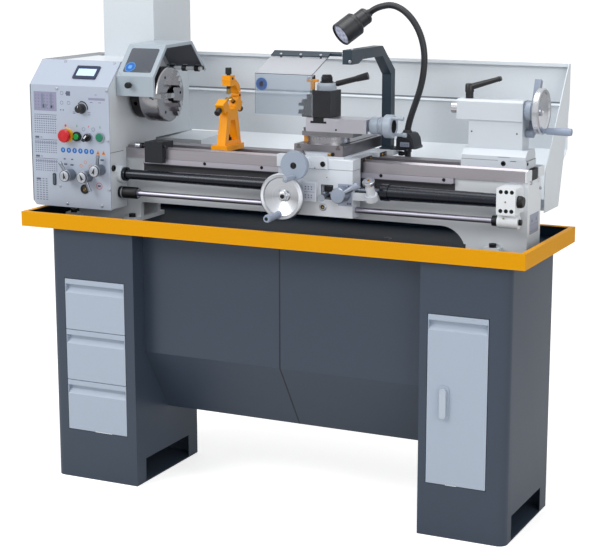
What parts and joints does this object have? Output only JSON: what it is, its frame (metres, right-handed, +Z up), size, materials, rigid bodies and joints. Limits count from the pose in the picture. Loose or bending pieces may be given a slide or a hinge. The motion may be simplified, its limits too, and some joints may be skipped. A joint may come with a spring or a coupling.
{
  "type": "engine lathe",
  "caption": "Bench engine lathe on a steel cabinet stand, with chuck, carriage, tailstock, steady rest, chip tray, splash guard, tool shield and work lamp.",
  "frame": {"origin": "on the floor, midway between the four floor anchor holes", "axes": "+X along the bed from headstock to tailstock, +Y away from the operator, +Z up"},
  "size_m": [1.591, 0.5803, 1.425],
  "materials": {
    "stand": "satin",
    "chip_tray": "satin",
    "tray_band": "satin",
    "bed": "painted, ways ground",
    "black_trim": "black oxide",
    "headstock": "painted",
    "front_plate": "satin",
    "sheet_housings": "satin",
    "splash_guard": "satin",
    "drawer_top": "satin",
    "drawer_middle": "satin",
    "drawer_bottom": "satin",
    "door": "satin",
    "door_latch": "satin",
    "stop_button": "gloss",
    "start_button": "gloss",
    "feed_button": "gloss",
    "mode_selector": "matt",
    "speed_knob": "matt",
    "lever_left": "satin chrome",
    "lever_middle": "satin chrome",
    "lever_right": "satin chrome",
    "spindle": "ground",
    "chuck_body": "turned",
    "jaw_1": "ground",
    "jaw_2": "ground",
    "jaw_3": "ground",
    "chuck_guard": "satin",
    "leadscrew": "turned",
    "feed_rod": "ground",
    "cover_left": "blued spring steel",
    "cover_right": "blued spring steel",
    "saddle": "painted",
    "apron": "painted",
    "guard_post": "satin",
    "work_lamp": "matt",
    "carriage_wheel": "turned",
    "halfnut_lever": "satin",
    "feed_lever": "satin",
    "thread_dial": "turned",
    "shield_rod": "satin",
    "shield": "clear",
    "cross_slide": "ground",
    "cross_wheel": "painted",
    "swivel_base": "ground",
    "top_slide": "ground",
    "top_wheel": "painted",
    "tool_post": "black oxide",
    "post_lever": "satin",
    "tailstock": "painted",
    "quill": "ground",
    "tail_wheel": "turned",
    "quill_lock": "matt",
    "clamp_lever": "satin",
    "steady_base": "painted",
    "steady_arch": "painted",
    "finger_1": "black oxide",
    "finger_2": "black oxide",
    "finger_3": "black oxide",
    "bed_stop": "black oxide"
  },
  "bodies": {
    "base": {"stand": "stand", "chip_tray": "chip_tray", "tray_band": "tray_band", "bed": "bed", "black_trim": "black_trim", "headstock": "headstock", "front_plate": "front_plate", "sheet_housings": "sheet_housings", "splash_guard": "splash_guard", "cover_left": "cover_left", "cover_right": "cover_right"},
    "drawer_top": {"drawer_top": "drawer_top"},
    "drawer_middle": {"drawer_middle": "drawer_middle"},
    "drawer_bottom": {"drawer_bottom": "drawer_bottom"},
    "door": {"door": "door"},
    "door_latch": {"door_latch": "door_latch"},
    "stop_button": {"stop_button": "stop_button"},
    "start_button": {"start_button": "start_button"},
    "feed_button": {"feed_button": "feed_button"},
    "mode_selector": {"mode_selector": "mode_selector"},
    "speed_knob": {"speed_knob": "speed_knob"},
    "lever_left": {"lever_left": "lever_left"},
    "lever_middle": {"lever_middle": "lever_middle"},
    "lever_right": {"lever_right": "lever_right"},
    "spindle": {"spindle": "spindle", "chuck_body": "chuck_body"},
    "jaw_1": {"jaw_1": "jaw_1"},
    "jaw_2": {"jaw_2": "jaw_2"},
    "jaw_3": {"jaw_3": "jaw_3"},
    "chuck_guard": {"chuck_guard": "chuck_guard"},
    "leadscrew": {"leadscrew": "leadscrew"},
    "feed_rod": {"feed_rod": "feed_rod"},
    "carriage": {"saddle": "saddle", "apron": "apron", "guard_post": "guard_post", "work_lamp": "work_lamp"},
    "carriage_wheel": {"carriage_wheel": "carriage_wheel"},
    "halfnut_lever": {"halfnut_lever": "halfnut_lever"},
    "feed_lever": {"feed_lever": "feed_lever"},
    "thread_dial": {"thread_dial": "thread_dial"},
    "shield": {"shield_rod": "shield_rod", "shield": "shield"},
    "cross_slide": {"cross_slide": "cross_slide"},
    "cross_wheel": {"cross_wheel": "cross_wheel"},
    "swivel_base": {"swivel_base": "swivel_base"},
    "top_slide": {"top_slide": "top_slide"},
    "top_wheel": {"top_wheel": "top_wheel"},
    "tool_post": {"tool_post": "tool_post"},
    "post_lever": {"post_lever": "post_lever"},
    "tailstock": {"tailstock": "tailstock"},
    "quill": {"quill": "quill"},
    "tail_wheel": {"tail_wheel": "tail_wheel"},
    "quill_lock": {"quill_lock": "quill_lock"},
    "clamp_lever": {"clamp_lever": "clamp_lever"},
    "steady_base": {"steady_base": "steady_base"},
    "steady_arch": {"steady_arch": "steady_arch"},
    "finger_1": {"finger_1": "finger_1"},
    "finger_2": {"finger_2": "finger_2"},
    "finger_3": {"finger_3": "finger_3"},
    "bed_stop": {"bed_stop": "bed_stop"}
  },
  "joints": [
    {"name": "drawer_top_slide", "type": "slide", "parent": "base", "child": "drawer_top", "axis": [0, -1, 0], "range_m": [0, 0.24]},
    {"name": "drawer_middle_slide", "type": "slide", "parent": "base", "child": "drawer_middle", "axis": [0, -1, 0], "range_m": [0, 0.24]},
    {"name": "drawer_bottom_slide", "type": "slide", "parent": "base", "child": "drawer_bottom", "axis": [0, -1, 0], "range_m": [0, 0.24]},
    {"name": "door_hinge", "type": "hinge", "parent": "base", "child": "door", "pos_m": [0.666, -0.199, 0.38], "axis": [0, 0, 1], "range_deg": [0, 110]},
    {"name": "door_latch_turn", "type": "hinge", "parent": "door", "child": "door_latch", "pos_m": [0.55, -0.203, 0.406], "axis": [0, 1, 0], "range_deg": [-90, 0]},
    {"name": "stop_button_press", "type": "slide", "parent": "base", "child": "stop_button", "axis": [0, 1, 0], "range_m": [0, 0.004], "stiffness_N_per_m": 400, "springref_m": -0.002},
    {"name": "start_button_press", "type": "slide", "parent": "base", "child": "start_button", "axis": [0, 1, 0], "range_m": [0, 0.003], "stiffness_N_per_m": 300, "springref_m": -0.002},
    {"name": "feed_button_press", "type": "slide", "parent": "base", "child": "feed_button", "axis": [0, 1, 0], "range_m": [0, 0.003], "stiffness_N_per_m": 300, "springref_m": -0.002},
    {"name": "mode_selector_turn", "type": "hinge", "parent": "base", "child": "mode_selector", "pos_m": [-0.577, -0.15, 1.019], "axis": [0, 1, 0], "range_deg": [-45, 45]},
    {"name": "speed_knob_turn", "type": "hinge", "parent": "base", "child": "speed_knob", "pos_m": [-0.597, -0.15, 1.102], "axis": [0, 1, 0], "range_deg": [-140, 140]},
    {"name": "lever_left_turn", "type": "hinge", "parent": "base", "child": "lever_left", "pos_m": [-0.64, -0.15, 0.907], "axis": [0, 1, 0], "range_deg": [-30, 30]},
    {"name": "lever_middle_turn", "type": "hinge", "parent": "base", "child": "lever_middle", "pos_m": [-0.581, -0.15, 0.906], "axis": [0, 1, 0], "range_deg": [-30, 30]},
    {"name": "lever_right_turn", "type": "hinge", "parent": "base", "child": "lever_right", "pos_m": [-0.538, -0.15, 0.927], "axis": [0, 1, 0], "range_deg": [-30, 30]},
    {"name": "spindle_turn", "type": "hinge", "parent": "base", "child": "spindle", "pos_m": [-0.6, 0.017, 1.137], "axis": [1, 0, 0], "continuous": true},
    {"name": "jaw_1_slide", "type": "slide", "parent": "spindle", "child": "jaw_1", "axis": [0, -1, 0], "range_m": [-0.012, 0.004]},
    {"name": "jaw_2_slide", "type": "slide", "parent": "spindle", "child": "jaw_2", "axis": [0, 0.5, 0.866], "range_m": [-0.012, 0.004]},
    {"name": "jaw_3_slide", "type": "slide", "parent": "spindle", "child": "jaw_3", "axis": [0, 0.5, -0.866], "range_m": [-0.012, 0.004]},
    {"name": "chuck_guard_hinge", "type": "hinge", "parent": "base", "child": "chuck_guard", "pos_m": [-0.44, 0.18, 1.2], "axis": [1, 0, 0], "range_deg": [-80, 0]},
    {"name": "leadscrew_turn", "type": "hinge", "parent": "base", "child": "leadscrew", "pos_m": [0, -0.1, 0.912], "axis": [1, 0, 0], "continuous": true},
    {"name": "feed_rod_turn", "type": "hinge", "parent": "base", "child": "feed_rod", "pos_m": [0, -0.1, 0.858], "axis": [1, 0, 0], "continuous": true},
    {"name": "carriage_slide", "type": "slide", "parent": "base", "child": "carriage", "axis": [1, 0, 0], "range_m": [-0.12, 0.07], "deforming": ["cover_left", "cover_right"]},
    {"name": "carriage_wheel_turn", "type": "hinge", "parent": "carriage", "child": "carriage_wheel", "pos_m": [0.052, -0.165, 0.89], "axis": [0, 1, 0], "range_deg": [-2160, 1260]},
    {"name": "halfnut_lever_turn", "type": "hinge", "parent": "carriage", "child": "halfnut_lever", "pos_m": [0.221, -0.165, 0.904], "axis": [0, 1, 0], "range_deg": [0, 35]},
    {"name": "feed_lever_turn", "type": "hinge", "parent": "carriage", "child": "feed_lever", "pos_m": [0.1725, -0.118, 0.902], "axis": [1, 0, 0], "range_deg": [-12, 12]},
    {"name": "thread_dial_turn", "type": "hinge", "parent": "carriage", "child": "thread_dial", "pos_m": [0.304, -0.12, 0.892], "axis": [0, -0.4384, 0.8988], "range_deg": [-720, 720]},
    {"name": "shield_hinge", "type": "hinge", "parent": "carriage", "child": "shield", "pos_m": [0.1, -0.124, 1.28], "axis": [1, 0, 0], "range_deg": [-90, 0]},
    {"name": "cross_slide_feed", "type": "slide", "parent": "carriage", "child": "cross_slide", "axis": [0, 1, 0], "range_m": [-0.045, 0.03]},
    {"name": "cross_wheel_turn", "type": "hinge", "parent": "carriage", "child": "cross_wheel", "pos_m": [0.101, -0.165, 0.982], "axis": [0, 1, 0], "range_deg": [-4050, 2700]},
    {"name": "swivel_turn", "type": "hinge", "parent": "cross_slide", "child": "swivel_base", "pos_m": [0.142, -0.05, 1.045], "axis": [0, 0, 1], "range_deg": [-45, 20]},
    {"name": "top_slide_feed", "type": "slide", "parent": "swivel_base", "child": "top_slide", "axis": [1, 0, 0], "range_m": [-0.02, 0.02]},
    {"name": "top_wheel_turn", "type": "hinge", "parent": "top_slide", "child": "top_wheel", "pos_m": [0.3, -0.05, 1.085], "axis": [1, 0, 0], "range_deg": [-2400, 2400]},
    {"name": "tool_post_turn", "type": "hinge", "parent": "top_slide", "child": "tool_post", "pos_m": [0.133, -0.043, 1.14], "axis": [0, 0, 1], "continuous": true},
    {"name": "post_lever_turn", "type": "hinge", "parent": "tool_post", "child": "post_lever", "pos_m": [0.133, -0.043, 1.19], "axis": [0, 0, 1], "range_deg": [-60, 60]},
    {"name": "tailstock_slide", "type": "slide", "parent": "base", "child": "tailstock", "axis": [1, 0, 0], "range_m": [-0.03, 0]},
    {"name": "quill_feed", "type": "slide", "parent": "tailstock", "child": "quill", "axis": [1, 0, 0], "range_m": [-0.08, 0]},
    {"name": "tail_wheel_turn", "type": "hinge", "parent": "tailstock", "child": "tail_wheel", "pos_m": [0.72, 0.017, 1.137], "axis": [1, 0, 0], "range_deg": [-7200, 0]},
    {"name": "quill_lock_turn", "type": "hinge", "parent": "tailstock", "child": "quill_lock", "pos_m": [0.526, 0.017, 1.18], "axis": [0, 0, 1], "range_deg": [-60, 60]},
    {"name": "clamp_lever_turn", "type": "hinge", "parent": "tailstock", "child": "clamp_lever", "pos_m": [0.69, 0.025, 1.077], "axis": [1, 0, 0], "range_deg": [-40, 0]},
    {"name": "steady_slide", "type": "slide", "parent": "base", "child": "steady_base", "axis": [1, 0, 0], "range_m": [-0.03, 0.06]},
    {"name": "steady_arch_hinge", "type": "hinge", "parent": "steady_base", "child": "steady_arch", "pos_m": [-0.205, 0.06094, 1.1393], "axis": [1, 0, 0], "range_deg": [-60, 0]},
    {"name": "finger_1_slide", "type": "slide", "parent": "steady_arch", "child": "finger_1", "axis": [0, 0, 1], "range_m": [0, 0.03]},
    {"name": "finger_2_slide", "type": "slide", "parent": "steady_base", "child": "finger_2", "axis": [0, -0.866, -0.5], "range_m": [0, 0.03]},
    {"name": "finger_3_slide", "type": "slide", "parent": "steady_base", "child": "finger_3", "axis": [0, 0.866, -0.5], "range_m": [0, 0.03]},
    {"name": "bed_stop_slide", "type": "slide", "parent": "base", "child": "bed_stop", "axis": [1, 0, 0], "range_m": [0, 0.06]}
  ],
  "couplings": [
    {"joint": "jaw_2_slide", "follows": "jaw_1_slide", "ratio": 1},
    {"joint": "jaw_3_slide", "follows": "jaw_1_slide", "ratio": 1},
    {"joint": "leadscrew_turn", "follows": "spindle_turn", "ratio": 0.5},
    {"joint": "feed_rod_turn", "follows": "spindle_turn", "ratio": 0.2},
    {"joint": "carriage_wheel_turn", "follows": "carriage_slide", "rad_per_m": 314.16},
    {"joint": "thread_dial_turn", "follows": "carriage_slide", "rad_per_m": 65.45},
    {"joint": "cross_wheel_turn", "follows": "cross_slide_feed", "rad_per_m": 1570.8},
    {"joint": "top_wheel_turn", "follows": "top_slide_feed", "rad_per_m": 2094.4},
    {"joint": "tail_wheel_turn", "follows": "quill_feed", "rad_per_m": 1570.8}
  ]
}
